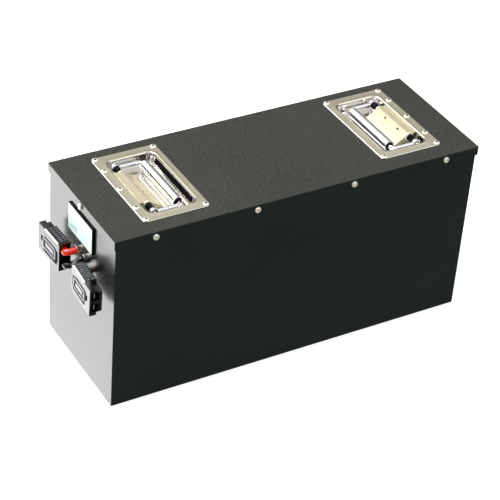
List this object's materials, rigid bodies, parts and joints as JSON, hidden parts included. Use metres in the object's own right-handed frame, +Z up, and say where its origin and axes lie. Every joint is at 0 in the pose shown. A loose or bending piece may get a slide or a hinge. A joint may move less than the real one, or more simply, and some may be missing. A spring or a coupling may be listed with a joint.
{
  "type": "battery pack",
  "caption": "Portable rechargeable battery pack: black steel case, recessed folding handles, end display, short leads with two-pole connectors.",
  "frame": {"origin": "middle of the case's underside", "axes": "+X along the length, away from the connector end; +Y across, away from the long front wall; +Z up"},
  "size_m": [0.5518, 0.1946, 0.2568],
  "materials": {
    "black_powder_coat": "satin fine-textured powder coat",
    "zinc_plated_steel": "bright zinc-plated stamped steel",
    "bright_steel": "bright nickel-plated steel",
    "chrome_plated_tube": "polished chrome plate",
    "spring_steel": "oiled spring wire",
    "black_plastic": "glossy moulded polycarbonate",
    "display_window": "clear window over a pale display",
    "red_silicone": "glossy silicone insulation",
    "black_silicone": "glossy silicone insulation",
    "grey_foam": "closed-cell foam",
    "cell_film": "aluminium can in blue film",
    "aluminium": "mill finish",
    "copper": "tinned copper strip",
    "epoxy_board": "glass-epoxy board"
  },
  "bodies": {
    "case": {"case_body": "black_powder_coat", "lid": "black_powder_coat", "lid_gasket": "grey_foam", "lid_screw_front_1": "bright_steel", "lid_screw_front_2": "bright_steel", "lid_screw_front_3": "bright_steel", "lid_screw_front_4": "bright_steel", "lid_screw_back_1": "bright_steel", "lid_screw_back_2": "bright_steel", "lid_screw_back_3": "bright_steel", "lid_screw_back_4": "bright_steel", "lid_screw_left_end": "bright_steel", "lid_screw_right_end": "bright_steel", "left_handle_plate": "zinc_plated_steel", "left_hinge_cover": "zinc_plated_steel", "left_hinge_pin": "bright_steel", "left_torsion_spring_inner": "spring_steel", "left_torsion_spring_outer": "spring_steel", "right_handle_plate": "zinc_plated_steel", "right_hinge_cover": "zinc_plated_steel", "right_hinge_pin": "bright_steel", "right_torsion_spring_inner": "spring_steel", "right_torsion_spring_outer": "spring_steel", "meter_housing": "black_plastic", "meter_window": "display_window", "lead_glands": "bright_steel", "rear_connector_housing": "black_plastic", "front_connector_housing": "black_plastic", "red_lead_rear": "red_silicone", "black_lead_front": "black_silicone", "black_lead_rear": "black_silicone", "red_lead_front": "red_silicone", "cell_1": "cell_film", "cell_2": "cell_film", "cell_3": "cell_film", "cell_4": "cell_film", "cell_5": "cell_film", "cell_6": "cell_film", "cell_7": "cell_film", "cell_8": "cell_film", "busbar_1": "copper", "busbar_2": "copper", "busbar_3": "copper", "busbar_4": "copper", "busbar_5": "copper", "busbar_6": "copper", "busbar_7": "copper", "end_plate_left": "aluminium", "end_plate_right": "aluminium", "side_board_front": "epoxy_board", "side_board_rear": "epoxy_board", "base_pad": "grey_foam", "top_board": "epoxy_board", "protection_module": "aluminium", "internal_positive_cable": "red_silicone", "internal_negative_cable": "black_silicone"},
    "left_handle": {"left_bail": "bright_steel", "left_grip": "chrome_plated_tube"},
    "right_handle": {"right_bail": "bright_steel", "right_grip": "chrome_plated_tube"}
  },
  "joints": [
    {"name": "left_handle_lift", "type": "hinge", "parent": "case", "child": "left_handle", "pos_m": [-0.1883, 0.002, 0.2497], "axis": [0, -1, 0], "range_deg": [0, 90], "stiffness_Nm_per_rad": 0.11, "springref_deg": -42.97},
    {"name": "right_handle_lift", "type": "hinge", "parent": "case", "child": "right_handle", "pos_m": [0.1945, 0.0038, 0.2497], "axis": [0, 1, 0], "range_deg": [0, 90], "stiffness_Nm_per_rad": 0.11, "springref_deg": -42.97}
  ]
}
